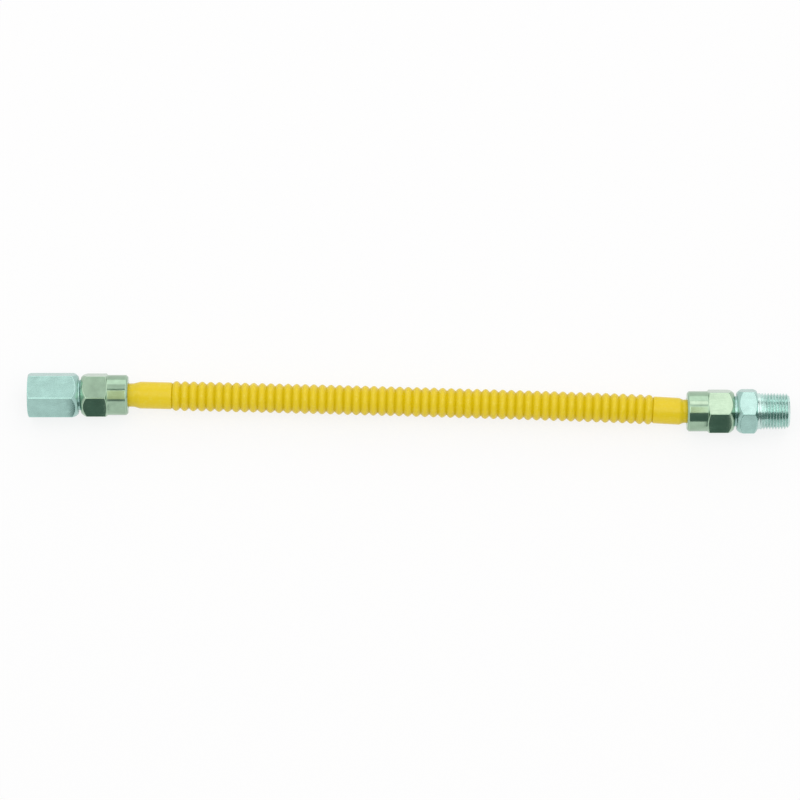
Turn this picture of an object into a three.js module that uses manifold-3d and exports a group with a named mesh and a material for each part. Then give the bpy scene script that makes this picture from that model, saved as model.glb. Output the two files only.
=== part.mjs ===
// Flexible gas hose: a corrugated steel tube with a yellow coat, a flare nut on each end,
// a female pipe adapter in one nut and a male pipe adapter in the other.
// Millimetres, +Z up. The hose lies along X on the flats of its two adapters, at z = 0.
import * as THREE from 'three';
import { mergeVertices } from 'three/addons/utils/BufferGeometryUtils.js';
import Module from 'manifold-3d';

const wasm = await Module();
wasm.setup();

// Driving dimensions of the corrugated tube, its span taken from nut to nut
const TUBE_SPAN = 261.7;
const CREST_DIAMETER = 14;
const ROOT_DIAMETER = 11.4;
const CONVOLUTION_PITCH = 4.02;
const CREST_SHARE = 0.42;
const TUBE_WALL = 0.6;
const NECK_DIAMETER = 11;
const LEFT_NECK_LENGTH = 2;
const RIGHT_NECK_LENGTH = 1.4;
const LEFT_TAPER_LENGTH = 4.2;
const RIGHT_TAPER_LENGTH = 2.5;
const CUFF_DIAMETER = 12.6;
const LEFT_CUFF_LENGTH = 14.3;
const RIGHT_CUFF_LENGTH = 12;
const FLARE_DIAMETER = 14;

// Driving dimensions of the flare nuts
const NUT_FLATS = 19.05;
const NUT_LENGTH = 22;
const COLLAR_LENGTH = 9.6;
const COLLAR_DIAMETER = 18.9;
const COLLAR_CHAMFER = 0.9;
const NUT_FACE_DIAMETER = 17.4;
const NUT_CHAMFER_LENGTH = 2.8;
const NUT_BACK_CHAMFER = 0.8;
const SEAT_DEPTH = 8.6;
const MOUTH_CHAMFER = 0.6;
const NECK_CLEARANCE = 0.3;

// Driving dimensions of the flare joint, a 5/8 in thread with 18 turns to the inch.
// The thread is drawn plain, at a diameter between its roots and its crests.
const FLARE_THREAD_DIAMETER = 15;
const FLARE_SEAT_GAP = 0.3;
const NOSE_LAND = 0.5;
const NUT_GAP = 1.3;

// Driving dimensions of both pipe adapters
const ADAPTER_FLATS = 19.5;
const GAS_BORE = 9;
const BORE_CHAMFER = 0.5;
const ADAPTER_FACE_DIAMETER = 17.6;
const ADAPTER_CHAMFER_LENGTH = 2.8;
const PIPE_TAPER = 1 / 16;

// Driving dimensions of the female adapter, with its 3/8 in pipe socket
const FEMALE_LENGTH = 23.6;
const SOCKET_MOUTH_DIAMETER = 14.8;
const SOCKET_DEPTH = 14.5;
const COUNTERSINK_DIAMETER = 17.4;
const FEMALE_END_DIAMETER = 19.9;
const END_CHAMFER_LENGTH = 0.8;

// Driving dimensions of the male adapter, with its 3/8 in pipe thread
const MALE_HEX_LENGTH = 9.4;
const MALE_THREAD_LENGTH = 15.24;
const MALE_THREAD_DIAMETER = 17.145;
const FULL_THREAD_LENGTH = 7.54;
const THREAD_END_CHAMFER = 1.3;
const MALE_HEX_END_DIAMETER = 18.6;
const MALE_HEX_END_CHAMFER = 1.5;

// How finely the round forms are cut, and how far the bar and the outlines run past each other
const TUBE_SIDES = 14;
const TURNED_SIDES = 32;
const CORNER_ALLOWANCE = 0.5;
const BAR_ALLOWANCE = 1;
const WELD_DISTANCE = 1e-4;
const ROUTE_DIVISIONS = 2000;

// The route of the tube on the floor plane, x and y, from one nut's back face to the other's
const ROUTE = [
  [-131.4, 4.1],
  [-127, 4.1],
  [-121, 4],
  [-112, 3.74],
  [-100, 3.41],
  [-86, 3.06],
  [-72, 2.72],
  [-58, 2.36],
  [-44, 1.99],
  [-30, 1.6],
  [-16, 1.2],
  [-2, 0.78],
  [12, 0.34],
  [26, -0.1],
  [40, -0.55],
  [54, -1.01],
  [68, -1.48],
  [82, -1.98],
  [96, -2.52],
  [106, -2.94],
  [114, -3.34],
  [120, -3.72],
  [126.3, -4.1],
  [130.3, -4.1],
];

// The route at the height of the adapters' middle, drawn out to the tube's span
const AXIS_HEIGHT = ADAPTER_FLATS / 2;
const routeStretch = TUBE_SPAN / (ROUTE.at(-1)[0] - ROUTE[0][0]);
const routePoints = ROUTE.map(([x, y]) => new THREE.Vector3(x * routeStretch, y, AXIS_HEIGHT));

// The fits of the flare joint, measured outwards from the back face of the nut
const neckRadius = NECK_DIAMETER / 2;
const backBoreRadius = neckRadius + NECK_CLEARANCE;
const bossRadius = FLARE_THREAD_DIAMETER / 2;
const nutBoreRadius = bossRadius + FLARE_SEAT_GAP;
const flareRadius = FLARE_DIAMETER / 2;
const flareStart = SEAT_DEPTH + FLARE_SEAT_GAP * Math.SQRT2 - NECK_CLEARANCE;
const flareEnd = flareStart + flareRadius - neckRadius;
const flareInset = TUBE_WALL * Math.SQRT2;
const noseInset = flareInset + FLARE_SEAT_GAP * Math.SQRT2;
const adapterStart = NUT_LENGTH + NUT_GAP;

// A flat list of r, s pairs as the points of a revolved outline
function outline(...pairs) {
  return pairs.map(([radius, along]) => new THREE.Vector2(radius, along));
}

// An outline that closes on itself, turned round the Y axis with its faces pointing out
function turned(points, sides) {
  return new THREE.LatheGeometry([...points, points[0]], sides);
}

function solidOf(geometry) {
  const bare = geometry.clone();
  bare.deleteAttribute('normal');
  bare.deleteAttribute('uv');
  const welded = mergeVertices(bare, WELD_DISTANCE);
  return new wasm.Manifold(new wasm.Mesh({
    numProp: 3,
    vertProperties: welded.attributes.position.array,
    triVerts: Uint32Array.from(welded.index.array),
  }));
}

function geometryOf(solid) {
  const mesh = solid.getMesh();
  const geometry = new THREE.BufferGeometry();
  geometry.setAttribute('position', new THREE.BufferAttribute(mesh.vertProperties, 3));
  geometry.setIndex(new THREE.BufferAttribute(mesh.triVerts, 1));
  geometry.computeVertexNormals();
  return geometry;
}

function cornerRadiusOf(flats) {
  return flats / 2 / Math.cos(Math.PI / 6);
}

// A hexagonal bar round the Y axis, with two of its flats facing along Z
function hexagonalBar(flats, from, to) {
  const cornerRadius = cornerRadiusOf(flats);
  const bar = new THREE.CylinderGeometry(cornerRadius, cornerRadius, to - from, 6);
  bar.rotateY(Math.PI / 6);
  bar.translate(0, (from + to) / 2, 0);
  return bar;
}

// A fitting is turned from hexagonal bar: the revolved outline, trimmed by the flats
function turnedFromBar(points, flats, length) {
  const blank = solidOf(turned(points, TURNED_SIDES));
  const bar = hexagonalBar(flats, -BAR_ALLOWANCE, length + BAR_ALLOWANCE);
  return geometryOf(blank.intersect(solidOf(bar)));
}

// The radius that clears the corners of a bar of this size
function beyondCorners(flats) {
  return cornerRadiusOf(flats) + CORNER_ALLOWANCE;
}

// The axial length of a chamfer cone that starts at one radius and runs out past the corners
function chamferRun(faceRadius, flats, length) {
  return length * (beyondCorners(flats) - faceRadius) / (cornerRadiusOf(flats) - faceRadius);
}

// The flare nut, with its round collar at the back and its hexagon at the front
function flareNut() {
  const faceRadius = NUT_FACE_DIAMETER / 2;
  const outer = beyondCorners(NUT_FLATS);
  const chamfer = chamferRun(faceRadius, NUT_FLATS, NUT_CHAMFER_LENGTH);
  const collarRadius = COLLAR_DIAMETER / 2;
  const backChamfer = chamferRun(collarRadius, NUT_FLATS, NUT_BACK_CHAMFER);
  const points = outline(
    [backBoreRadius + BORE_CHAMFER, 0],
    [collarRadius - COLLAR_CHAMFER, 0],
    [collarRadius, COLLAR_CHAMFER],
    [collarRadius, COLLAR_LENGTH],
    [outer, COLLAR_LENGTH + backChamfer],
    [outer, NUT_LENGTH - chamfer],
    [faceRadius, NUT_LENGTH],
    [nutBoreRadius + MOUTH_CHAMFER, NUT_LENGTH],
    [nutBoreRadius, NUT_LENGTH - MOUTH_CHAMFER],
    [nutBoreRadius, SEAT_DEPTH + nutBoreRadius - backBoreRadius],
    [backBoreRadius, SEAT_DEPTH],
    [backBoreRadius, BORE_CHAMFER],
  );
  return turnedFromBar(points, NUT_FLATS, NUT_LENGTH);
}

// The flare boss that both adapters share, from its bore at the nose to the hexagon's face
function bossOutline() {
  const boreRadius = GAS_BORE / 2;
  const noseRadius = boreRadius + NOSE_LAND;
  const noseTip = flareStart - neckRadius + noseInset + noseRadius;
  const noseBase = flareStart - neckRadius + noseInset + bossRadius;
  return [
    [boreRadius, noseTip],
    [noseRadius, noseTip],
    [bossRadius, noseBase],
    [bossRadius, adapterStart],
  ];
}

// The female adapter: boss, hexagon and a tapered pipe socket with a countersunk mouth
function femaleAdapter() {
  const faceRadius = ADAPTER_FACE_DIAMETER / 2;
  const outer = beyondCorners(ADAPTER_FLATS);
  const chamfer = chamferRun(faceRadius, ADAPTER_FLATS, ADAPTER_CHAMFER_LENGTH);
  const end = adapterStart + FEMALE_LENGTH;
  const endRadius = FEMALE_END_DIAMETER / 2;
  const endChamfer = chamferRun(endRadius, ADAPTER_FLATS, END_CHAMFER_LENGTH);
  const mouthRadius = SOCKET_MOUTH_DIAMETER / 2;
  const sinkRadius = COUNTERSINK_DIAMETER / 2;
  const floorRadius = mouthRadius - SOCKET_DEPTH * PIPE_TAPER / 2;
  const boreRadius = GAS_BORE / 2;
  const points = outline(
    ...bossOutline(),
    [faceRadius, adapterStart],
    [outer, adapterStart + chamfer],
    [outer, end - endChamfer],
    [endRadius, end],
    [sinkRadius, end],
    [mouthRadius, end - (sinkRadius - mouthRadius)],
    [floorRadius, end - SOCKET_DEPTH],
    [boreRadius, end - SOCKET_DEPTH - (floorRadius - boreRadius) / 2],
  );
  return turnedFromBar(points, ADAPTER_FLATS, end);
}

// The male adapter: boss, hexagon and a tapered pipe thread, drawn plain at its crests
function maleAdapter() {
  const faceRadius = ADAPTER_FACE_DIAMETER / 2;
  const outer = beyondCorners(ADAPTER_FLATS);
  const chamfer = chamferRun(faceRadius, ADAPTER_FLATS, ADAPTER_CHAMFER_LENGTH);
  const hexEnd = adapterStart + MALE_HEX_LENGTH;
  const end = hexEnd + MALE_THREAD_LENGTH;
  const hexEndRadius = MALE_HEX_END_DIAMETER / 2;
  const endChamfer = chamferRun(hexEndRadius, ADAPTER_FLATS, MALE_HEX_END_CHAMFER);
  const threadRadius = MALE_THREAD_DIAMETER / 2;
  const tipRadius = threadRadius - FULL_THREAD_LENGTH * PIPE_TAPER / 2;
  const boreRadius = GAS_BORE / 2;
  const points = outline(
    ...bossOutline(),
    [faceRadius, adapterStart],
    [outer, adapterStart + chamfer],
    [outer, hexEnd - endChamfer],
    [hexEndRadius, hexEnd],
    [threadRadius, hexEnd],
    [threadRadius, end - FULL_THREAD_LENGTH],
    [tipRadius, end - THREAD_END_CHAMFER],
    [tipRadius - THREAD_END_CHAMFER, end],
    [boreRadius + BORE_CHAMFER, end],
    [boreRadius, end - BORE_CHAMFER],
  );
  return turnedFromBar(points, ADAPTER_FLATS, end);
}

// The outside of the tube as radius and distance along it, from one flare's rim to the other's.
// The convolutions run between two plain cuffs, and each cuff tapers down to a neck.
function tubeOutside(length) {
  const cuffRadius = CUFF_DIAMETER / 2;
  const rootRadius = ROOT_DIAMETER / 2;
  const crestRadius = CREST_DIAMETER / 2;
  const leftTaper = flareEnd + LEFT_NECK_LENGTH;
  const leftCuff = leftTaper + LEFT_TAPER_LENGTH;
  const wavesStart = leftCuff + LEFT_CUFF_LENGTH;
  const rightTaper = length - flareEnd - RIGHT_NECK_LENGTH;
  const rightCuff = rightTaper - RIGHT_TAPER_LENGTH;
  const wavesEnd = rightCuff - RIGHT_CUFF_LENGTH;
  const count = Math.round((wavesEnd - wavesStart) / CONVOLUTION_PITCH);
  const pitch = (wavesEnd - wavesStart) / count;
  const crest = pitch * CREST_SHARE;
  const slope = (pitch - crest) / 2;
  const points = [
    [flareRadius, 0],
    [neckRadius, flareEnd - flareStart],
    [neckRadius, leftTaper],
    [cuffRadius, leftCuff],
    [cuffRadius, wavesStart - slope],
  ];
  for (let wave = 0; wave < count; wave += 1) {
    const root = wavesStart + wave * pitch;
    points.push([rootRadius, root]);
    points.push([crestRadius, root + slope]);
    points.push([crestRadius, root + slope + crest]);
  }
  points.push([rootRadius, wavesEnd]);
  points.push([cuffRadius, wavesEnd + slope]);
  points.push([cuffRadius, rightCuff]);
  points.push([neckRadius, rightTaper]);
  points.push([neckRadius, length - flareEnd + flareStart]);
  points.push([flareRadius, length]);
  return points;
}

// The inside follows the outside at the wall's thickness, square to the cones of the flares
function tubeInside(outside, length) {
  const inside = outside.slice(2, -2).map(([radius, along]) => [radius - TUBE_WALL, along]);
  const rimRadius = flareRadius - flareInset;
  const throat = flareEnd - flareStart - (flareInset - TUBE_WALL);
  return [
    [rimRadius, 0],
    [neckRadius - TUBE_WALL, throat],
    ...inside,
    [neckRadius - TUBE_WALL, length - throat],
    [rimRadius, length],
  ];
}

// The tube's middle line: straight inside each nut, and along the route between them
function tubePath() {
  const curve = new THREE.CatmullRomCurve3(routePoints);
  curve.arcLengthDivisions = ROUTE_DIVISIONS;
  const between = curve.getLength();
  const length = between + 2 * flareEnd;
  const at = (along) => {
    const share = THREE.MathUtils.clamp((along - flareEnd) / between, 0, 1);
    const point = curve.getPointAt(share);
    point.x += Math.min(along - flareEnd, 0) + Math.max(along - flareEnd - between, 0);
    return { point, tangent: curve.getTangentAt(share) };
  };
  return { length, at };
}

// The corrugated tube, turned round Y and then laid along its path
function corrugatedTube() {
  const path = tubePath();
  const outside = tubeOutside(path.length);
  const inside = tubeInside(outside, path.length);
  const geometry = turned(outline(...outside, ...inside.reverse()), TUBE_SIDES);
  const position = geometry.attributes.position;
  const up = new THREE.Vector3(0, 0, 1);
  for (let i = 0; i < position.count; i += 1) {
    const { point, tangent } = path.at(position.getY(i));
    const side = new THREE.Vector3().crossVectors(tangent, up).normalize();
    point.addScaledVector(side, position.getX(i));
    point.addScaledVector(up, position.getZ(i));
    position.setXYZ(i, point.x, point.y, point.z);
  }
  return geometry;
}

// A steel finish and the yellow coat
function steel(color) {
  return new THREE.MeshStandardMaterial({ color, metalness: 0.85, roughness: 0.35 });
}

function yellowCoat() {
  return new THREE.MeshStandardMaterial({ color: 0xe6cd28, metalness: 0, roughness: 0.4 });
}

function named(name, geometry, material) {
  const mesh = new THREE.Mesh(geometry, material);
  mesh.name = name;
  return mesh;
}

// One end of the hose, its Y axis pointing outwards from the back face of its nut
function endGroup(place, turn, nutName, adapterName, adapterGeometry) {
  const group = new THREE.Group();
  group.position.copy(place);
  group.rotation.z = turn;
  group.add(named(nutName, flareNut(), steel(0x9cb99f)));
  group.add(named(adapterName, adapterGeometry, steel(0xb4d6cf)));
  return group;
}

const hose = new THREE.Group();
hose.add(named('corrugated_tube', corrugatedTube(), yellowCoat()));
hose.add(endGroup(
  routePoints[0],
  Math.PI / 2,
  'flare_nut_female_end',
  'female_pipe_adapter',
  femaleAdapter(),
));
hose.add(endGroup(
  routePoints.at(-1),
  -Math.PI / 2,
  'flare_nut_male_end',
  'male_pipe_adapter',
  maleAdapter(),
));

export default hose;
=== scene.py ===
"""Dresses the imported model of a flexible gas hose: a corrugated tube with a yellow coat,
a flare nut on each end, and a female and a male pipe adapter. Everything is in metres."""

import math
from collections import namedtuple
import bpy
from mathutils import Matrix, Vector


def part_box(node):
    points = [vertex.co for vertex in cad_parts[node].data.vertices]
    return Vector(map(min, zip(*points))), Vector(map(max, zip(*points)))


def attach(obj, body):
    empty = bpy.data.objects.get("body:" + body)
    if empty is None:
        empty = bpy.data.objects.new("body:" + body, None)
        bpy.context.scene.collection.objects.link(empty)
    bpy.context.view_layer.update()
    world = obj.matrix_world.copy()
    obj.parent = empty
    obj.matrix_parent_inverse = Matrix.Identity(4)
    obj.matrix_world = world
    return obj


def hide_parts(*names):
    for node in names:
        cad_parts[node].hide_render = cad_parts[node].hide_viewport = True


bl_info = {
    "name": "Flexible gas hose",
    "version": (1, 0, 0),
    "blender": (4, 5, 0),
    "location": "View3D > Sidebar > Gas hose",
    "description": "Makes a corrugated gas hose with its flare nuts and pipe adapters",
    "category": "Add Mesh",
}

from types import SimpleNamespace

import bmesh
import bpy
import numpy as np
from bpy.props import FloatProperty, FloatVectorProperty, IntProperty, PointerProperty
from bpy.types import Operator, Panel, PropertyGroup
from mathutils import Matrix, Vector

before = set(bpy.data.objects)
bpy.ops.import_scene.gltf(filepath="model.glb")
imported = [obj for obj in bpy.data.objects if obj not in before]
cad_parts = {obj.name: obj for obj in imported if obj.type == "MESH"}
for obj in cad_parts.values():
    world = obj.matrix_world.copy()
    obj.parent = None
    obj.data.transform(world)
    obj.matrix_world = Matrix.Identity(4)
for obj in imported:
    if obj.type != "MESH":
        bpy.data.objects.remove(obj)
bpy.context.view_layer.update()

MM = 0.001

# The finishes of a fitting's faces, in the order of its material slots
TURNED, FLATS, THREAD = 0, 1, 2

# The finishes of the tube's faces, in the same way
COATED, BARE = 0, 1

# A row of a fitting's outline: its radius and place at every angle, the finish from it to the
# next row, how far its edge is eased, and 1 where it lies on the bar's flats or else 0
Row = namedtuple("Row", "radius place finish ease on_bar")

# A row of a fitting's skin, with its edge wear and painted highlight at every angle
SkinRow = namedtuple("SkinRow", "radius place finish wear")

# A row of the tube: its radius, its place, and how deep in a groove it is, from 0 to 1, which sets
# the groove's painted shade
TubeRow = namedtuple("TubeRow", "radius place groove finish")

# The tube's route on the floor plane, from one nut's back face to the other's
ROUTE = [
    (-0.1314, 0.0041),
    (-0.127, 0.0041),
    (-0.121, 0.004),
    (-0.112, 0.00374),
    (-0.1, 0.00341),
    (-0.086, 0.00306),
    (-0.072, 0.00272),
    (-0.058, 0.00236),
    (-0.044, 0.00199),
    (-0.03, 0.0016),
    (-0.016, 0.0012),
    (-0.002, 0.00078),
    (0.012, 0.00034),
    (0.026, -0.0001),
    (0.04, -0.00055),
    (0.054, -0.00101),
    (0.068, -0.00148),
    (0.082, -0.00198),
    (0.096, -0.00252),
    (0.106, -0.00294),
    (0.114, -0.00334),
    (0.12, -0.00372),
    (0.1263, -0.0041),
    (0.1303, -0.0041),
]

# Points on the line that the hose is measured along, and in each span of its route
PATH_POINTS = 240
SPAN_POINTS = 40

# Rows of a taper between neck and cuff, and of the rounded lip between cuff and groove
TAPER_ROWS = 8
LIP_ROWS = 6

# How soon the painted shade of a groove fades up its sides
GROOVE_SHADE_FADE = 1.5

# The inside of a wave: its rows, as shares of the way between two grooves, and its fullness
INSIDE_PARTS = (0.3, 0.5, 0.7)
INSIDE_FULLNESS = 1.2

# Points nearer than this are joined, and edges sharper than this show as edges
WELD_DISTANCE = 2e-7
SHARP_ANGLE = math.radians(50)

# How finely a fitting is cut: steps from a corner of the bar to the middle of its flat, steps
# to a turn of a thread, and where the rows of an eased edge stand along its curve
HALF_FLAT_STEPS = 12
THREAD_STEPS = 12
EASED_STEPS = (1 / 3, 2 / 3)

# An eased edge takes at most this share of the face beside it. A row farther in keeps the rest
# of the face flat: it stands this many times as far from the edge, at most at its own share.
EASE_MOST = 0.4
HOLD_TIMES = 2
HOLD_MOST = 0.48

# The corners of the bar are rounded by a sum of high powers, and carry wear and a painted highlight
# this far round
CORNER_POWER = 140
CORNER_WEAR_AND_HIGHLIGHT = math.radians(1.4)

# A thread's crest and root, as shares of its pitch away from the middle of the crest
CREST_END = 0.0625
ROOT_START = 0.4375

# Turns that the flare threads, the socket's thread and the male thread take to run out
FLARE_RUN_OUT = 1
SOCKET_RUN_OUT = 2
MALE_RUN_OUT = 3

# How fine the noise of each surface is, in patches to a metre
COAT_CLOUDS = 90.0
COAT_SPECKS = 700.0
COAT_PEEL = 1600.0
STEEL_STAINS = 260.0
STEEL_MARKS = 5200.0
THREAD_MARKS = 2600.0

# Nearly all noise lies between these two values
NOISE_LOW, NOISE_HIGH = 0.3, 0.7

# What noise makes of each surface, from least to most: how deep a groove's painted shade is, how
# far the scuffs reach, how much rougher the coat and the steel are, and how bright the edges' wear
# and painted highlight are
GROOVE_PAINTED_SHADE = (0.7, 1.0)
SCUFF_REACH = (-1.2, 1.0)
COAT_ROUGHER = (-0.05, 0.06)
STEEL_ROUGHER = (-0.04, 0.06)
EDGE_WEAR_AND_HIGHLIGHT = (0.3, 0.9)

# How many times as bright edges are with wear and painted highlight, and how drawn out the grain is
# along the flats
WEAR_AND_HIGHLIGHT_BRIGHTNESS = 1.25
GRAIN_STRETCH = 0.06

# Each soft lamp: its name, place, width along the hose, depth, power and colour
LAMPS = (
    ("overhead_lamp", (-0.1, -0.22, 1.2), 2.0, 0.9, 5.8, (1.0, 1.0, 1.0)),
    ("back_lamp", (0.0, 1.0, 0.62), 2.0, 0.7, 2.4, (1.0, 1.0, 1.0)),
    ("right_lamp", (0.42, 0.5, 1.2), 1.0, 0.4, 1.3, (1.0, 0.82, 0.84)),
)

# Each card that only the steel mirrors: its name, the nut that it stands by, its two ends along
# the hose, its angle in degrees from straight up towards the front, its distance from the nut's
# axis, its width and its colour
CARDS = (
    ("left_facet_card", "flare_nut_female_end", -0.1592, -0.1424, 88.6, 0.03, 0.02, "dark_card"),
    ("left_upper_streak", "flare_nut_female_end", -0.166, -0.132, -9, 0.2, 0.031, "dark_card"),
    ("left_middle_band", "flare_nut_female_end", -0.166, -0.132, 21, 0.21, 0.19, "warm_card"),
    ("left_lower_streak", "flare_nut_female_end", -0.166, -0.132, 51, 0.2, 0.04, "dark_card"),
    ("right_facet_card", "flare_nut_male_end", 0.1405, 0.1525, 88.6, 0.03, 0.02, "dark_card"),
    ("right_middle_band", "flare_nut_male_end", 0.132, 0.153, 21, 0.21, 0.19, "warm_card"),
    ("right_thread_card", "flare_nut_male_end", 0.09, 0.27, 53, 0.04, 0.036, "dark_card"),
    ("right_thread_streak", "flare_nut_male_end", 0.167, 0.27, -36, 0.04, 0.014, "dark_card"),
)

CARD_TONES = ("dark_card", "warm_card")


def screen(value):
    """A colour value from 0 to 255 as it shows on screen, in the scene's linear terms."""
    level = value / 255
    if level <= 0.04045:
        return level / 12.92
    return ((level + 0.055) / 1.055) ** 2.4


def length(name, description, millimetres):
    return FloatProperty(
        name=name,
        description=description,
        default=millimetres * MM,
        min=0.0,
        precision=5,
        unit="LENGTH",
    )


def share(name, description, value):
    return FloatProperty(
        name=name,
        description=description,
        default=value,
        min=0.0,
        max=1.0,
        subtype="FACTOR",
    )


def colour(name, description, red, green, blue):
    return FloatVectorProperty(
        name=name,
        description=description,
        default=(screen(red), screen(green), screen(blue)),
        min=0.0,
        max=1.0,
        subtype="COLOR",
    )


def tall_of(node_name):
    """A hexagon's width across flats, which is the height of its solid as it lies."""
    low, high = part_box(node_name)
    return (high.z - low.z) / MM


class TubeSizes(PropertyGroup):
    """Sizes of the corrugated tube."""

    crest_diameter: length("Crest diameter", "Across the tops of the convolutions", 14.0)
    root_diameter: length("Root diameter", "Across the bottoms of the grooves", 11.4)
    pitch: length("Pitch", "From one convolution to the next", 4.02)
    wall: length("Wall", "Thickness of the steel with its coat", 0.6)
    neck_diameter: length("Neck diameter", "Of the plain tube beside each nut", 11.0)
    left_neck: length("Left neck", "Of the plain tube by the female end's nut", 2.0)
    right_neck: length("Right neck", "Of the plain tube by the male end's nut", 1.4)
    left_taper: length("Left taper", "From the left neck to its cuff", 4.2)
    right_taper: length("Right taper", "From the right neck to its cuff", 2.5)
    cuff_diameter: length("Cuff diameter", "Of the plain cuffs beside the waves", 12.6)
    left_cuff: length("Left cuff", "Length of the cuff at the female end", 14.3)
    right_cuff: length("Right cuff", "Length of the cuff at the male end", 12.0)
    lip: length("Lip", "How far a cuff's edge is rounded beside the first groove", 1.2)
    flare_diameter: length("Flare diameter", "Across the rim of each flare", 14.0)
    columns: IntProperty(name="Columns", description="Faces round the tube", default=56, min=12)
    wave_rows: IntProperty(name="Wave rows", description="Rows to a convolution", default=14, min=6)
    fullness: share("Fullness", "How broad the crests are, less being broader", 0.55)
    coat_start: length("Coat start", "From the foot of each flare to the coat", 1.5)


class NutSizes(PropertyGroup):
    """Sizes of the two flare nuts and of their thread."""

    flats: length("Flats", "Width across flats", tall_of("flare_nut_female_end"))
    total: length("Length", "From the collar's back to the hexagon's face", 22.0)
    collar_length: length("Collar length", "Of the round collar", 9.6)
    collar_diameter: length("Collar diameter", "Of the round collar", 18.9)
    collar_chamfer: length("Collar chamfer", "At the collar's back edge", 0.9)
    face_diameter: length("Face diameter", "Of the flat face at the mouth", 17.4)
    chamfer_length: length("Chamfer length", "At the corners beside the face", 2.8)
    back_chamfer: length("Back chamfer", "At the corners beside the collar", 0.8)
    seat_depth: length("Seat depth", "From the back to the cone that holds the flare", 8.6)
    neck_gap: length("Neck gap", "Between the tube's neck and the nut", 0.3)
    bore_chamfer: length("Bore chamfer", "At the back, round the tube's neck", 0.5)
    mouth_diameter: length("Mouth diameter", "Of the chamfer where the thread starts", 16.8)
    thread_start: length("Thread start", "From the back to the thread's inner end", 11.2)
    thread_gap: length("Thread gap", "Between the two threads, across the radius", 0.09)
    flare_gap: length("Flare gap", "Between nut, flare and nose", 0.3)


class ThreadSizes(PropertyGroup):
    """Sizes of the flare thread and of the pipe thread."""

    pitch: length("Pitch", "From one turn to the next on both threads", 25.4 / 18)
    flare_major: length("Flare thread", "Outside diameter of the flare thread", 15.875)
    flare_depth: length("Flare thread depth", "From crest to root", 0.8656)
    pipe_depth: length("Pipe thread depth", "From crest to root", 1.129)
    taper: share("Taper", "Change of diameter along a pipe thread", 1 / 16)
    relief: length("Relief", "Of the plain groove between flare thread and hexagon", 0.6)


class AdapterSizes(PropertyGroup):
    """Sizes that the two pipe adapters share, and each one's own."""

    flats: length("Flats", "Width across flats", tall_of("female_pipe_adapter"))
    nut_gap: length("Nut gap", "Between the nut's mouth and the adapter's hexagon", 1.3)
    bore: length("Bore", "Of the gas way", 9.0)
    bore_chamfer: length("Bore chamfer", "At the ends of the gas way", 0.5)
    nose_land: length("Nose land", "Of the ring at the tip of the nose", 0.5)
    face_diameter: length("Face diameter", "Of the hexagon's face by the nut", 17.6)
    chamfer_length: length("Chamfer length", "At the corners by the nut", 2.8)
    female_length: length("Female length", "Of the female hexagon", 23.6)
    socket_mouth: length("Socket mouth", "Across the thread's crests at the mouth", 14.8)
    socket_depth: length("Socket depth", "From the end face", 14.5)
    countersink: length("Countersink", "Diameter at the end face", 17.4)
    female_end: length("Female end", "Diameter of the end face", 19.9)
    female_chamfer: length("Female chamfer", "At the corners of the end face", 0.8)
    male_hex: length("Male hexagon", "Length of the male hexagon", 9.4)
    male_thread: length("Male thread", "Length of the pipe thread", 15.24)
    male_diameter: length("Male diameter", "Across the crests beside the hexagon", 17.145)
    full_thread: length("Full thread", "Length of the taper from the tip", 7.54)
    tip_chamfer: length("Tip chamfer", "At the thread's tip", 1.3)
    male_end: length("Male end", "Diameter where the hexagon meets the thread", 18.6)
    male_chamfer: length("Male chamfer", "At the corners by the thread", 1.5)
    ease: length("Eased edges", "How far the edges are rounded back", 0.16)
    thread_ease: length("Thread's edge", "Rounding where the male thread leaves its hexagon", 0.05)


class HoseFinishes(PropertyGroup):
    """Colours and surface values of the coat and of the plating."""

    coat: colour("Coat", "Yellow of the crests", 235, 206, 8)
    # The groove colour is painted shade: a darker yellow for the grooves
    groove: colour("Groove", "Deeper yellow of the grooves", 214, 189, 3)
    scuff: colour("Scuff", "Pale wear on the crests", 240, 224, 84)
    nut: colour("Nut", "Plating of the flare nuts", 162, 190, 165)
    adapter: colour("Adapter", "Plating of the pipe adapters", 168, 205, 197)
    # The threads' colour is a lighter copy of the adapter plating: painted light that offsets the
    # shade between the flanks
    thread: colour("Thread", "Plating of the pipe threads", 208, 234, 228)
    bare: colour("Bare steel", "Inside and flares of the tube", 190, 192, 194)
    stain: share("Stain", "How much darker the plating is where it is stained", 0.16)
    scuffing: share("Scuffing", "How far the scuffs' colour covers the coat", 0.3)
    coat_gloss: share("Coat gloss", "Strength of the coat's reflections", 0.45)
    coat_roughness: share("Coat roughness", "Of the yellow coat", 0.31)
    nut_roughness: share("Nut roughness", "Of the flare nuts", 0.14)
    adapter_roughness: share("Adapter roughness", "Of the pipe adapters", 0.25)
    bare_roughness: share("Bare roughness", "Of the tube's bare steel", 0.3)
    peel: share("Peel", "Strength of the coat's orange peel", 0.25)
    peel_height: length("Peel height", "Of the coat's orange peel", 0.05)
    marks: share("Marks", "Strength of the tool marks in the steel", 0.16)
    mark_height: length("Mark height", "Of the tool marks in the steel", 0.02)


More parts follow.
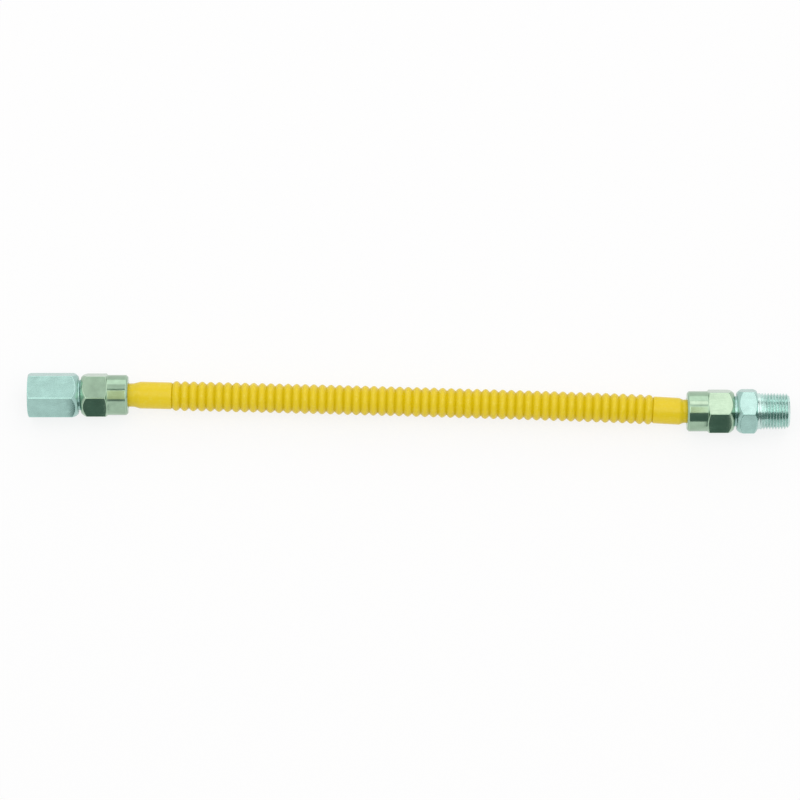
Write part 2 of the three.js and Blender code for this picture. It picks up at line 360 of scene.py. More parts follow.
class StageSettings(PropertyGroup):
    """The camera, the floor and the lamps."""

    elevation: FloatProperty(
        name="Elevation",
        description="Of the camera above the floor",
        default=math.radians(68),
        subtype="ANGLE",
    )
    distance: length("Distance", "From the camera to the hose", 2084.0)
    aim_x: FloatProperty(name="Aim X", description="Along the hose", default=-0.004, unit="LENGTH")
    aim_y: FloatProperty(name="Aim Y", description="Across the hose", default=0.0016, unit="LENGTH")
    lens: FloatProperty(name="Lens", description="Focal length in millimetres", default=200.0)
    floor: colour("Floor", "Of the plain floor", 253, 253, 253)
    floor_reach: length("Floor reach", "From the middle of the floor to its sides", 3000.0)
    floor_roughness: share("Floor roughness", "Of the matt floor", 0.9)
    floor_glow: share("Floor glow", "How far the floor shows as the white backdrop", 0.8)
    sky: share("Sky", "Strength of the light from all round", 0.6)
    dark_card: colour("Dark card", "Of the cards that make the dark bands", 101, 121, 117)
    warm_card: colour("Warm card", "Of the cards that the collars mirror", 255, 244, 200)


def bar_angles():
    """Angles round a fitting, closer together at the six corners of the bar."""
    half = 30 * (np.arange(HALF_FLAT_STEPS) / HALF_FLAT_STEPS) ** 2
    sector = np.concatenate([half, [30], 60 - half[:0:-1]])
    turns = [sector + 60 * number for number in range(6)]
    return np.radians(np.concatenate(turns + [[360.0]]))


ANGLES = bar_angles()


def corner_offset():
    """How far each angle is from the nearest corner of the bar."""
    sixth = math.pi / 3
    return np.abs(ANGLES - np.round(ANGLES / sixth) * sixth)


def bar_radius(flats):
    """The hexagonal bar's radius at each angle, with softly rounded corners."""
    total = np.zeros_like(ANGLES)
    for number in range(3):
        middle = math.radians(30 + 60 * number)
        total += np.abs(np.cos(ANGLES - middle)) ** CORNER_POWER
    return flats / 2 / total ** (1 / CORNER_POWER)


def thread_height(turns):
    """From 1 on a thread's crest to 0 in its root."""
    away = np.abs(turns - np.round(turns))
    return np.clip((ROOT_START - away) / (ROOT_START - CREST_END), 0, 1)


class Turning:
    """The outline of one fitting, row by row, each row given at every angle round the axis.

    Radii are measured from the axis, and places outwards from the nut's back face."""

    def __init__(self, flats, ease):
        self.bar = bar_radius(flats)
        self.corner = flats / math.sqrt(3)
        self.ease = ease
        self.rows = []

    def add(self, radius, place, finish=TURNED, ease=None):
        """One row that holds the same radius and place all the way round."""
        radius = np.minimum(np.full_like(ANGLES, radius), self.bar)
        place = np.full_like(ANGLES, place)
        self.rows.append(Row(radius, place, finish, self.ease if ease is None else ease, 0))

    def trim(self, radius, place, run, finish):
        """The row where a chamfer cone, which starts at this radius, meets the flats."""
        reach = np.clip((self.bar - radius) / (self.corner - radius), 0, None)
        self.rows.append(Row(self.bar, place + run * reach, finish, self.ease, 1))

    def thread(self, start, end, pitch, finish, radius_at):
        """Rows along the thread's turns, from one place to the other."""
        low, high = sorted((start, end))
        first = math.floor(low / pitch) - 1
        count = math.ceil((high - low) / pitch + 2) * THREAD_STEPS
        steps = range(count + 1) if start < end else range(count, -1, -1)
        for step in steps:
            place = (first + step / THREAD_STEPS + ANGLES / math.tau) * pitch
            place = np.clip(place, low, high)
            radius = radius_at(place, thread_height(place / pitch - ANGLES / math.tau))
            self.rows.append(Row(radius, place, finish, 0, 0))

    def skin_rows(self):
        """The rows of the skin, with each plain edge rounded."""
        made = []
        for number, row in enumerate(self.rows):
            if row.ease:
                before = self.rows[number - 1]
                after = self.rows[(number + 1) % len(self.rows)]
                made += rounded(before, row, after)
            else:
                made.append(SkinRow(row.radius, row.place, row.finish, corner_wear_and_highlight(row)))
        return made


def corner_wear_and_highlight(row):
    """1 at the corners of the bar and 0 away from them, where the row lies on the bar: the mask of
    edge wear and painted highlight.
    """
    return np.clip(1 - corner_offset() / CORNER_WEAR_AND_HIGHLIGHT, 0, 1) * row.on_bar


def rounded(before, row, after):
    """An edge as a short curve, with a row on each side of it that keeps the faces flat."""
    here, previous, following = (np.array(each[:2]) for each in (row, before, after))
    wear = corner_wear_and_highlight(row)
    hold = HOLD_TIMES * row.ease
    arrive = towards(here, previous, row.ease, EASE_MOST)
    leave = towards(here, following, row.ease, EASE_MOST)
    made = [SkinRow(*towards(here, previous, hold, HOLD_MOST), before.finish, wear)]
    made.append(SkinRow(*arrive, before.finish, wear))
    # The rows of the eased edge itself carry full wear and painted highlight
    for step in EASED_STEPS:
        point = (1 - step) ** 2 * arrive + 2 * step * (1 - step) * here + step**2 * leave
        made.append(SkinRow(*point, row.finish, np.ones_like(ANGLES)))
    made.append(SkinRow(*leave, row.finish, wear))
    made.append(SkinRow(*towards(here, following, hold, HOLD_MOST), row.finish, wear))
    return made


def towards(here, there, distance, most):
    """A point this far along the line to the next row, but at most this share of the line."""
    step = there - here
    size = np.hypot(*step)
    size[size < WELD_DISTANCE] = np.inf
    return here + step * np.minimum(distance / size, most)


def skin(name, points, values, finishes, materials):
    """A closed mesh over a grid of points, whose last row joins its first."""
    rows, columns = points.shape[:2]
    start = (np.arange(rows)[:, None] * columns + np.arange(columns - 1)[None, :]).ravel()
    above = (start + columns) % (rows * columns)
    faces = np.stack([start, start + 1, above + 1, above], axis=1)
    mesh = bpy.data.meshes.new(name)
    mesh.from_pydata(points.reshape(-1, 3).tolist(), [], faces.tolist())
    for label, value in values.items():
        layer = mesh.attributes.new(label, "FLOAT", "POINT")
        layer.data.foreach_set("value", value.astype(np.float32).ravel())
    kinds = np.repeat(np.asarray(finishes, np.int32), columns - 1)
    mesh.polygons.foreach_set("material_index", kinds)
    weld(mesh)
    mesh.shade_smooth()
    mesh.set_sharp_from_angle(angle=SHARP_ANGLE)
    for material in materials:
        mesh.materials.append(material)
    piece = bpy.data.objects.new(name, mesh)
    bpy.context.scene.collection.objects.link(piece)
    return piece


def weld(mesh):
    """Joins the points that lie on each other, so that the skin is closed."""
    work = bmesh.new()
    work.from_mesh(mesh)
    bmesh.ops.remove_doubles(work, verts=work.verts, dist=WELD_DISTANCE)
    open_edges = [edge for edge in work.edges if not edge.is_manifold]
    volume = work.calc_volume(signed=True)
    work.to_mesh(mesh)
    work.free()
    if open_edges or volume <= 0:
        raise RuntimeError(f"{mesh.name} isn't one closed skin: {len(open_edges)} open edges")


def fitting(name, turning, materials, place):
    """A turned fitting as a piece, its own Z axis pointing outwards along the hose's end."""
    rows = turning.skin_rows()
    radius = np.array([row.radius for row in rows])
    place_along = np.array([row.place for row in rows])
    points = np.stack([radius * np.cos(ANGLES), radius * np.sin(ANGLES), place_along], axis=2)
    # The wear attribute is the mask of edge wear and of a painted highlight
    wear = np.array([row.wear for row in rows])
    piece = skin(name, points, {"wear": wear}, [row.finish for row in rows], materials)
    piece.matrix_world = place
    return piece


def end_place(nut_node, outwards):
    """The frame at a nut's back face: Z outwards along the axis, X across the hose."""
    low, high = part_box(nut_node)
    middle = (low + high) / 2
    back = high.x if outwards < 0 else low.x
    out = Vector((outwards, 0, 0))
    across = Vector((0, 1, 0))
    frame_rows = Matrix((across, out.cross(across), out)).transposed().to_4x4()
    return Matrix.Translation((back, middle.y, middle.z)) @ frame_rows


def centripetal(points, per_span):
    """A centripetal spline through the points, with its end spans reaching straight on."""
    points = np.asarray(points, float)
    padded = np.vstack([2 * points[0] - points[1], points, 2 * points[-1] - points[-2]])
    made = []
    for p0, p1, p2, p3 in zip(padded, padded[1:], padded[2:], padded[3:]):
        t0, t1, t2 = (np.linalg.norm(b - a) ** 0.5 for a, b in ((p0, p1), (p1, p2), (p2, p3)))
        m1 = t1 * ((p1 - p0) / t0 - (p2 - p0) / (t0 + t1) + (p2 - p1) / t1)
        m2 = t1 * ((p2 - p1) / t1 - (p3 - p1) / (t1 + t2) + (p3 - p2) / t2)
        t = np.linspace(0, 1, per_span, endpoint=False)[:, None]
        cubic = (2 * p1 - 2 * p2 + m1 + m2) * t**3
        made.append(cubic + (3 * p2 - 3 * p1 - 2 * m1 - m2) * t**2 + m1 * t + p1)
    return np.vstack([*made, points[-1:]])


class Route:
    """The tube's middle line, straight inside each nut and along the route between them."""

    def __init__(self, flare_end, height):
        self.points = centripetal([(x, y, height) for x, y in ROUTE], SPAN_POINTS)
        steps = np.linalg.norm(np.diff(self.points, axis=0), axis=1)
        self.marks = np.concatenate([[0], np.cumsum(steps)])
        self.flare_end = flare_end
        self.span = self.marks[-1]
        self.length = self.span + 2 * flare_end

    def at(self, along):
        """Points on the middle line, and the level direction across it at each."""
        inner = along - self.flare_end
        held = np.clip(inner, 0, self.span)
        points = np.stack([np.interp(held, self.marks, self.points[:, k]) for k in range(3)], 1)
        points[:, 0] += inner - held
        slopes = np.gradient(self.points, self.marks, axis=0)
        run = np.stack([np.interp(held, self.marks, slopes[:, k]) for k in range(2)], 1)
        run /= np.linalg.norm(run, axis=1)[:, None]
        across = np.stack([-run[:, 1], run[:, 0], np.zeros(len(run))], axis=1)
        return points, across


def material(name, finish_nodes):
    """A material whose nodes are made by the function given with it."""
    made = bpy.data.materials.new(name)
    made.use_nodes = True
    finish_nodes(made.node_tree)
    return made


def node(tree, kind, settings=None, **inputs):
    """Adds a node, sets it up, and links or sets its inputs, by name or by number as _0."""
    made = tree.nodes.new(kind)
    for label, value in (settings or {}).items():
        setattr(made, label, value)
    for label, value in inputs.items():
        socket = made.inputs[int(label[1:])] if label[0] == "_" else made.inputs[label]
        join(tree, value, socket)
    return made


def join(tree, value, socket):
    """Links another node's output to a socket, or sets the socket to a plain value."""
    if isinstance(value, bpy.types.NodeSocket):
        tree.links.new(value, socket)
    else:
        socket.default_value = value


def noise(tree, vector, scale, detail=3.0):
    return node(tree, "ShaderNodeTexNoise", Vector=vector, Scale=scale, Detail=detail).outputs[0]


def spread(tree, value, low, high):
    """Noise, spread so that it runs from low to high."""
    made = node(tree, "ShaderNodeMapRange", Value=value)
    limits = {"From Min": NOISE_LOW, "From Max": NOISE_HIGH, "To Min": low, "To Max": high}
    for label, number in limits.items():
        made.inputs[label].default_value = number
    return made.outputs[0]


def mixed(tree, factor, first, second):
    """A colour between two others, each a plain colour or another node's output."""
    made = node(tree, "ShaderNodeMix", {"data_type": "RGBA"}, _0=factor)
    for number, tone in ((6, first), (7, second)):
        linked = isinstance(tone, bpy.types.NodeSocket)
        join(tree, tone if linked else (*tone, 1), made.inputs[number])
    return made.outputs[2]


def combined(tree, operation, first, second):
    """Two values added, subtracted or multiplied, and held between 0 and 1."""
    settings = {"operation": operation, "use_clamp": True}
    return node(tree, "ShaderNodeMath", settings, _0=first, _1=second).outputs[0]


def attribute(tree, name):
    return node(tree, "ShaderNodeAttribute", {"attribute_name": name}).outputs["Fac"]


def object_space(tree):
    return node(tree, "ShaderNodeTexCoord").outputs["Object"]


def ring_space(tree):
    """Distance from the axis and place along it, so that a texture runs round in rings."""
    place = node(tree, "ShaderNodeSeparateXYZ", Vector=object_space(tree))
    flat = node(tree, "ShaderNodeCombineXYZ", X=place.outputs[0], Y=place.outputs[1])
    radius = node(tree, "ShaderNodeVectorMath", {"operation": "LENGTH"}, _0=flat.outputs[0])
    rings = node(tree, "ShaderNodeCombineXYZ", X=radius.outputs["Value"], Z=place.outputs[2])
    return rings.outputs[0]


def grain_space(tree):
    """Space drawn out along the axis, so that a texture runs along the flats."""
    scale = (1.0, 1.0, GRAIN_STRETCH)
    return node(tree, "ShaderNodeMapping", Vector=object_space(tree), Scale=scale).outputs[0]


def roughen(tree, rough, height, strength, distance):
    """Gives the surface its roughness, and fine bumps that follow the noise."""
    shader = tree.nodes["Principled BSDF"]
    tree.links.new(rough, shader.inputs["Roughness"])
    bump = node(tree, "ShaderNodeBump", Strength=strength, Distance=distance, Height=height)
    tree.links.new(bump.outputs[0], shader.inputs["Normal"])


def yellow_coat(look):
    """The satin coat: painted darker in the grooves as painted shade, scuffed on the crests, with a
    fine orange peel.
    """

    def nodes(tree):
        shader = tree.nodes["Principled BSDF"]
        shader.inputs["Specular IOR Level"].default_value = look.coat_gloss
        space = object_space(tree)
        clouds = noise(tree, space, COAT_CLOUDS)
        depth = attribute(tree, "groove")
        # Painted shade: the grooves take the darker groove colour, in patches
        deeper = combined(tree, "MULTIPLY", depth, spread(tree, clouds, *GROOVE_PAINTED_SHADE))
        base = mixed(tree, deeper, look.coat, look.groove)
        specks = spread(tree, noise(tree, space, COAT_SPECKS, 5.0), *SCUFF_REACH)
        scuffs = combined(tree, "SUBTRACT", specks, depth)
        worn = combined(tree, "MULTIPLY", scuffs, look.scuffing)
        tree.links.new(mixed(tree, worn, base, look.scuff), shader.inputs["Base Color"])
        least, most = (look.coat_roughness + change for change in COAT_ROUGHER)
        rough = spread(tree, clouds, least, most)
        peel = noise(tree, space, COAT_PEEL, 2.0)
        roughen(tree, rough, peel, look.peel, look.peel_height)

    return material("yellow_coat", nodes)


def steel(name, look, tint, roughness, marks_noise):
    """Bright plated steel, stained in patches, its edges painted brighter as wear and as a painted
    highlight.
    """

    def nodes(tree):
        shader = tree.nodes["Principled BSDF"]
        shader.inputs["Metallic"].default_value = 1.0
        stains = noise(tree, object_space(tree), STEEL_STAINS, 4.0)
        dark = tuple(value * (1 - look.stain) for value in tint)
        base = mixed(tree, spread(tree, stains, 0.0, 1.0), tint, dark)
        # Painted highlight and wear: the edges take a brighter copy of the tint
        bright = tuple(min(1.0, value * WEAR_AND_HIGHLIGHT_BRIGHTNESS) for value in tint)
        wear = spread(tree, stains, *EDGE_WEAR_AND_HIGHLIGHT)
        edge = combined(tree, "MULTIPLY", attribute(tree, "wear"), wear)
        tree.links.new(mixed(tree, edge, base, bright), shader.inputs["Base Color"])
        fine = marks_noise(tree)
        least, most = (roughness + change for change in STEEL_ROUGHER)
        rough = spread(tree, fine, least, most)
        roughen(tree, rough, fine, look.marks, look.mark_height)

    return material(name, nodes)


def turning_marks(tree):
    """Fine rings round the axis, as a lathe leaves them."""
    return noise(tree, ring_space(tree), STEEL_MARKS)


def drawing_marks(tree):
    """Fine grain along the bar, as drawing leaves it."""
    return noise(tree, grain_space(tree), STEEL_MARKS)


def dull_marks(tree):
    """Even fine marks, as plating leaves them on threads."""
    return noise(tree, object_space(tree), THREAD_MARKS)


def plating(name, look, tint, lightened_thread_tint, roughness):
    """The three finishes of one plated fitting, in the order of its material slots."""
    return [
        steel(f"{name}_turned", look, tint, roughness, turning_marks),
        steel(f"{name}_flats", look, tint, roughness, drawing_marks),
        # The threads take the lighter thread colour, painted light against the shade between their
        # flanks
        steel(f"{name}_thread", look, lightened_thread_tint, roughness, dull_marks),
    ]


def flare_places(tube, nut):
    """Where the flare starts and ends, measured outwards from the nut's back face."""
    start = nut.seat_depth + nut.flare_gap * math.sqrt(2) - nut.neck_gap
    end = start + (tube.flare_diameter - tube.neck_diameter) / 2
    return start, end


def tube_places(tube, nut, total):
    """Where the tube's forms change, measured from the rim of its left flare."""
    flare_start, flare_end = flare_places(tube, nut)
    places = SimpleNamespace(total=total, neck_start=flare_end - flare_start)
    places.left_taper = flare_end + tube.left_neck
    places.left_cuff = places.left_taper + tube.left_taper
    places.waves_start = places.left_cuff + tube.left_cuff
    places.right_taper = total - flare_end - tube.right_neck
    places.right_cuff = places.right_taper - tube.right_taper
    places.waves_end = places.right_cuff - tube.right_cuff
    places.count = round((places.waves_end - places.waves_start) / tube.pitch)
    places.pitch = (places.waves_end - places.waves_start) / places.count
    return places


def taper_rows(first, last, start, end):
    """Coated rows that run smoothly from one radius and place to another."""
    rows = []
    for step in range(TAPER_ROWS + 1):
        part = step / TAPER_ROWS
        blend = 0.5 - 0.5 * math.cos(math.pi * part)
        radius = first + (last - first) * blend
        rows.append(TubeRow(radius, start + (end - start) * part, 0, COATED))
    return rows


def lip_rows(cuff, root, groove, reach):
    """The rounded lip of a cuff, down to the bottom of the groove beside it."""
    rows = []
    for step in range(LIP_ROWS + 1):
        turn = math.pi / 2 * step / LIP_ROWS
        drop = (1 - math.cos(turn)) ** 2
        place = groove - reach * (1 - math.sin(turn))
        rows.append(TubeRow(cuff - (cuff - root) * drop, place, drop, COATED))
    return rows


def wave_rows(tube, places):
    """The convolutions, row by row, each from its groove over its crest to the next groove."""
    root = tube.root_diameter / 2
    rise = tube.crest_diameter / 2 - root
    rows = []
    for step in range(1, places.count * tube.wave_rows + 1):
        height = (0.5 - 0.5 * math.cos(math.tau * step / tube.wave_rows)) ** tube.fullness
        place = places.waves_start + step / tube.wave_rows * places.pitch
        groove = (1 - height) ** GROOVE_SHADE_FADE
        rows.append(TubeRow(root + rise * height, place, groove, COATED))
    return rows


def outside_rows(tube, places):
    """The tube's outside, from the rim of one flare to the rim of the other."""
    rim = tube.flare_diameter / 2
    neck = tube.neck_diameter / 2
    cuff = tube.cuff_diameter / 2
    root = tube.root_diameter / 2
    coat_start = places.neck_start + tube.coat_start
    rows = [TubeRow(rim, 0, 0, BARE)]
    rows.append(TubeRow(neck, places.neck_start, 0, BARE))
    rows.append(TubeRow(neck, coat_start, 0, COATED))
    rows += taper_rows(neck, cuff, places.left_taper, places.left_cuff)
    rows += lip_rows(cuff, root, places.waves_start, tube.lip)
    rows += wave_rows(tube, places)
    rows += lip_rows(cuff, root, places.waves_end, -tube.lip)[-2::-1]
    rows += taper_rows(cuff, neck, places.right_cuff, places.right_taper)
    rows.append(TubeRow(neck, places.total - coat_start, 0, BARE))
    rows.append(TubeRow(neck, places.total - places.neck_start, 0, BARE))
    rows.append(TubeRow(rim, places.total, 0, BARE))
    return rows


def inside_rows(tube, places):
    """The tube's bare inside, from the rim of the right flare back to the left one's."""
    inset = tube.wall * math.sqrt(2)
    rim = tube.flare_diameter / 2 - inset
    neck = tube.neck_diameter / 2 - tube.wall
    cuff = tube.cuff_diameter / 2 - tube.wall
    root = tube.root_diameter / 2 - tube.wall
    rise = (tube.crest_diameter - tube.root_diameter) / 2
    throat = places.neck_start - (inset - tube.wall)
    path = [(rim, places.total), (neck, places.total - throat), (neck, places.right_taper)]
    path += [(cuff, places.right_cuff), (cuff, places.waves_end + tube.lip)]
    for wave in range(places.count, 0, -1):
        place = places.waves_start + wave * places.pitch
        path.append((root, place))
        for part in INSIDE_PARTS:
            height = math.sin(math.pi * part) ** INSIDE_FULLNESS
            path.append((root + rise * height, place - part * places.pitch))
    path += [(root, places.waves_start), (cuff, places.waves_start - tube.lip)]
    path += [(cuff, places.left_cuff), (neck, places.left_taper), (neck, throat), (rim, 0)]
    return [TubeRow(radius, place, 0, BARE) for radius, place in path]


def tube_piece(tube, nut, materials, height):
    """The corrugated tube, swept along its route."""
    route = Route(flare_places(tube, nut)[1], height)
    places = tube_places(tube, nut, route.length)
    rows = outside_rows(tube, places) + inside_rows(tube, places)
    radius = np.array([row.radius for row in rows])
    groove = np.array([row.groove for row in rows])
    middle, across = route.at(np.array([row.place for row in rows]))
    turn = np.linspace(0, math.tau, tube.columns + 1)
    up = np.array([0.0, 0.0, 1.0])
    ring = across[:, None] * np.cos(turn)[None, :, None] + up * np.sin(turn)[None, :, None]
    points = middle[:, None] + ring * radius[:, None, None]
    depth = np.repeat(groove[:, None], len(turn), axis=1)
    finishes = [row.finish for row in rows]
    return skin("corrugated_hose", points, {"groove": depth}, finishes, materials)


def nut_turning(tube, nut, threads, ease):
    """A flare nut: round collar, hexagon, threaded mouth, and the cone that holds the flare."""
    turning = Turning(nut.flats, ease)
    collar = nut.collar_diameter / 2
    face = nut.face_diameter / 2
    back_bore = tube.neck_diameter / 2 + nut.neck_gap
    relief = threads.flare_major / 2 + nut.thread_gap
    turning.add(back_bore + nut.bore_chamfer, 0)
    turning.add(collar - nut.collar_chamfer, 0)
    turning.add(collar, nut.collar_chamfer)
    turning.add(collar, nut.collar_length)
    turning.trim(collar, nut.collar_length, nut.back_chamfer, FLATS)
    turning.trim(face, nut.total, -nut.chamfer_length, TURNED)
    turning.add(face, nut.total)

    def inside(place, height):
        radius = relief - threads.flare_depth * (1 - height)
        mouth = nut.mouth_diameter / 2 - (nut.total - place)
        run_out = FLARE_RUN_OUT * threads.pitch
        fade = np.clip((place - nut.thread_start) / run_out, 0, 1)
        return np.maximum(relief + (radius - relief) * fade, mouth)

    turning.thread(nut.total, nut.thread_start, threads.pitch, TURNED, inside)
    turning.add(relief, nut.seat_depth + relief - back_bore)
    turning.add(back_bore, nut.seat_depth)
    turning.add(back_bore, nut.bore_chamfer)
    return turning


def boss(turning, tube, nut, threads, adapter):
    """The flare boss of an adapter: bore, 45 degree nose, thread and relief. Returns its end."""
    start, _ = flare_places(tube, nut)
    bore = adapter.bore / 2
    nose = bore + adapter.nose_land
    inset = (tube.wall + nut.flare_gap) * math.sqrt(2)
    tip = start - tube.neck_diameter / 2 + inset + nose
    major = threads.flare_major / 2
    minor = major - threads.flare_depth
    hexagon = nut.total + adapter.nut_gap
    turning.add(bore, tip)
    turning.add(nose, tip)

    def outside(place, height):
        run_out = FLARE_RUN_OUT * threads.pitch
        fade = np.clip((hexagon - threads.relief - place) / run_out, 0, 1)
        radius = minor + threads.flare_depth * height * fade
        return np.minimum(radius, nose + place - tip)

    turning.thread(tip + minor - nose, hexagon, threads.pitch, TURNED, outside)
    return hexagon


def female_turning(tube, nut, threads, adapter):
    """The female adapter: boss, long hexagon and tapered pipe socket."""
    turning = Turning(adapter.flats, adapter.ease)
    hexagon = boss(turning, tube, nut, threads, adapter)
    face = adapter.face_diameter / 2
    end = hexagon + adapter.female_length
    bore = adapter.bore / 2
    mouth = adapter.socket_mouth / 2
    sink = adapter.countersink / 2
    floor_place = end - adapter.socket_depth
    floor_radius = mouth - adapter.socket_depth * threads.taper / 2
    turning.add(face, hexagon)
    turning.trim(face, hexagon, adapter.chamfer_length, FLATS)
    turning.trim(adapter.female_end / 2, end, -adapter.female_chamfer, TURNED)
    turning.add(adapter.female_end / 2, end)
    turning.add(sink, end)

    def inside(place, height):
        crest = mouth - (end - place) * threads.taper / 2
        fade = np.clip((place - floor_place) / (SOCKET_RUN_OUT * threads.pitch), 0, 1)
        return np.maximum(crest + threads.pipe_depth * height * fade, sink - (end - place))

    turning.thread(end, floor_place, threads.pitch, THREAD, inside)
    turning.add(floor_radius, floor_place, ease=0)
    turning.add(bore, floor_place - (floor_radius - bore) / 2)
    return turning


def male_turning(tube, nut, threads, adapter):
    """The male adapter: boss, short hexagon and tapered pipe thread."""
    turning = Turning(adapter.flats, adapter.ease)
    hexagon = boss(turning, tube, nut, threads, adapter)
    face = adapter.face_diameter / 2
    step = hexagon + adapter.male_hex
    end = step + adapter.male_thread
    crest = adapter.male_diameter / 2
    tip = crest - adapter.full_thread * threads.taper / 2
    bore = adapter.bore / 2
    turning.add(face, hexagon)
    turning.trim(face, hexagon, adapter.chamfer_length, FLATS)
    turning.trim(adapter.male_end / 2, step, -adapter.male_chamfer, TURNED)
    turning.add(adapter.male_end / 2, step)
    turning.add(crest, step, ease=adapter.thread_ease)

    def outside(place, height):
        past = np.clip(place - (end - adapter.full_thread), 0, None)
        top = crest - past * threads.taper / 2
        fade = np.clip((place - step) / (MALE_RUN_OUT * threads.pitch), 0, 1)
        radius = top - threads.pipe_depth * (1 - height) * fade
        return np.minimum(radius, tip - adapter.tip_chamfer + (end - place))

    turning.thread(step, end, threads.pitch, THREAD, outside)
    turning.add(bore + adapter.bore_chamfer, end)
    turning.add(bore, end - adapter.bore_chamfer)
    return turning


def seat(piece, body, node_name):
    """The piece stands for its solid, which is hidden, and moves with its body."""
    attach(piece, body)
    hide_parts(node_name)
    return piece


def place_camera(scene, settings):
    aim = Vector((settings.aim_x, settings.aim_y, tall_of("female_pipe_adapter") * MM / 2))
    back = Vector((0, -math.cos(settings.elevation), math.sin(settings.elevation)))
    lens = bpy.data.cameras.new("camera")
    lens.lens = settings.lens
    camera = bpy.data.objects.new("camera", lens)
    camera.location = aim + back * settings.distance
    camera.rotation_euler = (-back).to_track_quat("-Z", "Y").to_euler()
    scene.collection.objects.link(camera)
    scene.camera = camera
    scene.view_settings.view_transform = "Standard"


def seen_directly(tree):
    """1 for rays from the camera, and for those that a shiny or clear surface passes on."""
    path = node(tree, "ShaderNodeLightPath")
    total = path.outputs["Is Camera Ray"]
    for label in ("Is Glossy Ray", "Is Transmission Ray"):
        total = combined(tree, "ADD", total, path.outputs[label])
    return total


def stage_world(scene, settings):
    """White where it is seen, and softer as a light."""
    scene.world = bpy.data.worlds.new("studio")
    scene.world.use_nodes = True
    tree = scene.world.node_tree
    sky = tree.nodes["Background"]
    sky.inputs["Color"].default_value = (1, 1, 1, 1)
    strength = node(tree, "ShaderNodeMapRange", Value=seen_directly(tree))
    strength.inputs["To Min"].default_value = settings.sky
    strength.inputs["To Max"].default_value = 1.0
    tree.links.new(strength.outputs[0], sky.inputs["Strength"])


def flat_sheet(name, corners, sheet_material):
    mesh = bpy.data.meshes.new(name)
    mesh.from_pydata(corners, [], [(0, 1, 2, 3)])
    mesh.materials.append(sheet_material)
    sheet = bpy.data.objects.new(name, mesh)
    bpy.context.scene.collection.objects.link(sheet)
    return sheet


def stage_floor(settings):
    """A wide matt floor, partly shown as the backdrop's white, which keeps its shadow."""

    def nodes(tree):
        shader = tree.nodes["Principled BSDF"]
        shader.inputs["Base Color"].default_value = (*settings.floor, 1)
        shader.inputs["Roughness"].default_value = settings.floor_roughness
        shader.inputs["Specular IOR Level"].default_value = 0.0
        white = node(tree, "ShaderNodeEmission")
        glow = combined(tree, "MULTIPLY", seen_directly(tree), settings.floor_glow)
        blend = node(tree, "ShaderNodeMixShader", _0=glow)
        tree.links.new(shader.outputs[0], blend.inputs[1])
        tree.links.new(white.outputs[0], blend.inputs[2])
        tree.links.new(blend.outputs[0], tree.nodes["Material Output"].inputs["Surface"])

    reach = settings.floor_reach
    corners = [(-reach, -reach, 0), (reach, -reach, 0), (reach, reach, 0), (-reach, reach, 0)]
    flat_sheet("floor", corners, material("pale_floor", nodes))


def stage_lamps():
    """Broad soft lamps above and behind the hose, all facing its middle."""
    for name, place, width, depth, power, tone in LAMPS:
        light = bpy.data.lights.new(name, "AREA")
        light.shape = "RECTANGLE"
        light.size = width
        light.size_y = depth
        light.energy = power
        light.color = tone
        lamp = bpy.data.objects.new(name, light)
        lamp.location = place
        lamp.rotation_euler = (-lamp.location).to_track_quat("-Z", "Y").to_euler()
        bpy.context.scene.collection.objects.link(lamp)


def card_material(name, tone):
    """A card's plain colour, the same from every side and under any light."""

    def nodes(tree):
        plain = node(tree, "ShaderNodeEmission")
        plain.inputs["Color"].default_value = (*tone, 1)
        tree.links.new(plain.outputs[0], tree.nodes["Material Output"].inputs["Surface"])

    return material(name, nodes)


def stage_cards(settings):
    """Cards round the nuts, seen only as reflections in the steel."""
    tones = {name: card_material(name, getattr(settings, name)) for name in CARD_TONES}
    for name, nut, left, right, degrees, distance, width, tone in CARDS:
        low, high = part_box(nut)
        middle = (low + high) / 2
        angle = math.radians(degrees)
        outwards = Vector((0, -math.sin(angle), math.cos(angle)))
        half = Vector((0, math.cos(angle), math.sin(angle))) * width / 2
        centre = Vector((0, middle.y, middle.z)) + outwards * distance
        ends = Vector((left, 0, 0)), Vector((right, 0, 0))
        corners = [
            centre + ends[0] - half,
            centre + ends[1] - half,
            centre + ends[1] + half,
            centre + ends[0] + half,
        ]
        card = flat_sheet(name, corners, tones[tone])
        card.visible_camera = False
        card.visible_diffuse = False
        card.visible_transmission = False
        card.visible_shadow = False


class HOSE_OT_make_stage(Operator):
    """Set the camera, the floor, the lamps and the white backdrop"""

    bl_idname = "hose.make_stage"
    bl_label = "Make the stage"

    def execute(self, context):
        settings = context.scene.hose_stage
        place_camera(context.scene, settings)
        stage_world(context.scene, settings)
        stage_floor(settings)
        stage_lamps()
        stage_cards(settings)
        return {"FINISHED"}


class HOSE_OT_make_tube(Operator):
    """Make the corrugated tube with its yellow coat"""

    bl_idname = "hose.make_tube"
    bl_label = "Make the tube"

    def execute(self, context):
        scene = context.scene
        look = scene.hose_finishes
        bare = steel("bare_steel", look, look.bare, look.bare_roughness, dull_marks)
        height = end_place("flare_nut_female_end", -1).translation.z
        finishes = [yellow_coat(look), bare]
        piece = tube_piece(scene.hose_tube, scene.hose_nut, finishes, height)
        seat(piece, "hose", "corrugated_tube")
        return {"FINISHED"}


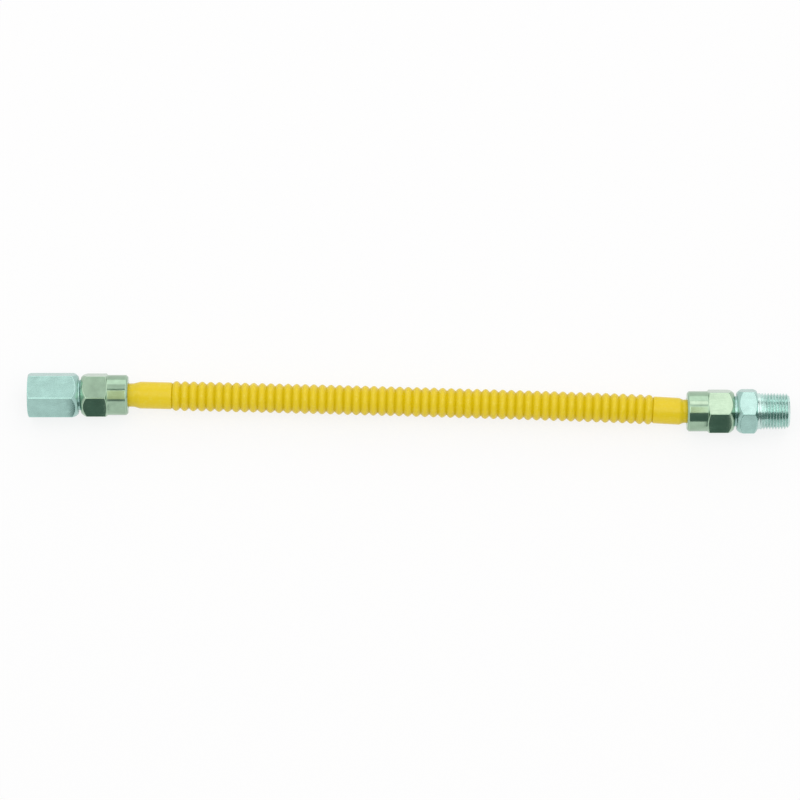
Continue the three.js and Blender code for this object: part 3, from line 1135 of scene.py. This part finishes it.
class HOSE_OT_make_nuts(Operator):
    """Make the two flare nuts"""

    bl_idname = "hose.make_nuts"
    bl_label = "Make the flare nuts"

    def execute(self, context):
        scene = context.scene
        look = scene.hose_finishes
        finishes = plating("nut", look, look.nut, look.nut, look.nut_roughness)
        for side, outwards in (("female", -1), ("male", 1)):
            turning = nut_turning(
                scene.hose_tube, scene.hose_nut, scene.hose_threads, scene.hose_adapter.ease
            )
            node_name = f"flare_nut_{side}_end"
            place = end_place(node_name, outwards)
            piece = fitting(f"{side}_flare_nut", turning, finishes, place)
            seat(piece, f"{side}_nut", node_name)
        return {"FINISHED"}


class HOSE_OT_make_adapters(Operator):
    """Make the female and the male pipe adapter"""

    bl_idname = "hose.make_adapters"
    bl_label = "Make the pipe adapters"

    def execute(self, context):
        scene = context.scene
        look = scene.hose_finishes
        finishes = plating(
            "adapter", look, look.adapter, look.thread, look.adapter_roughness
        )
        shapes = {"female": (female_turning, -1), "male": (male_turning, 1)}
        for side, (shape, outwards) in shapes.items():
            turning = shape(
                scene.hose_tube, scene.hose_nut, scene.hose_threads, scene.hose_adapter
            )
            place = end_place(f"flare_nut_{side}_end", outwards)
            piece = fitting(f"{side}_adapter", turning, finishes, place)
            seat(piece, f"{side}_adapter", f"{side}_pipe_adapter")
        return {"FINISHED"}


class HOSE_OT_declare_hose(Operator):
    """Work out points along the hose's middle line, from rim to rim of its flares; nothing keeps
    them
    """

    bl_idname = "hose.declare_hose"
    bl_label = "Declare the hose"

    def execute(self, context):
        scene = context.scene
        first = end_place("flare_nut_female_end", -1).translation
        route = Route(flare_places(scene.hose_tube, scene.hose_nut)[1], first.z)
        route.at(np.linspace(0, route.length, PATH_POINTS))[0].tolist()
        return {"FINISHED"}


class HOSE_PT_builder(Panel):
    """Lists the steps that make the hose"""

    bl_idname = "HOSE_PT_builder"
    bl_label = "Gas hose"
    bl_space_type = "VIEW_3D"
    bl_region_type = "UI"
    bl_category = "Gas hose"

    def draw(self, context):
        for step in STEPS:
            self.layout.operator(step.bl_idname)
        for label in SETTINGS:
            group = getattr(context.scene, label)
            box = self.layout.box()
            for name in group.bl_rna.properties.keys():
                if name not in ("name", "rna_type"):
                    box.prop(group, name)


STEPS = [
    HOSE_OT_make_stage,
    HOSE_OT_make_tube,
    HOSE_OT_make_nuts,
    HOSE_OT_make_adapters,
    HOSE_OT_declare_hose,
]

SETTINGS = {
    "hose_tube": TubeSizes,
    "hose_nut": NutSizes,
    "hose_threads": ThreadSizes,
    "hose_adapter": AdapterSizes,
    "hose_finishes": HoseFinishes,
    "hose_stage": StageSettings,
}


def register():
    for kind in (*SETTINGS.values(), *STEPS, HOSE_PT_builder):
        bpy.utils.register_class(kind)
    for label, kind in SETTINGS.items():
        setattr(bpy.types.Scene, label, PointerProperty(type=kind))


def unregister():
    for label in SETTINGS:
        delattr(bpy.types.Scene, label)
    for kind in reversed((*SETTINGS.values(), *STEPS, HOSE_PT_builder)):
        bpy.utils.unregister_class(kind)


def main():
    register()
    bpy.ops.hose.make_stage()
    bpy.ops.hose.make_tube()
    bpy.ops.hose.make_nuts()
    bpy.ops.hose.make_adapters()
    bpy.ops.hose.declare_hose()


if __name__ == "__main__":
    main()
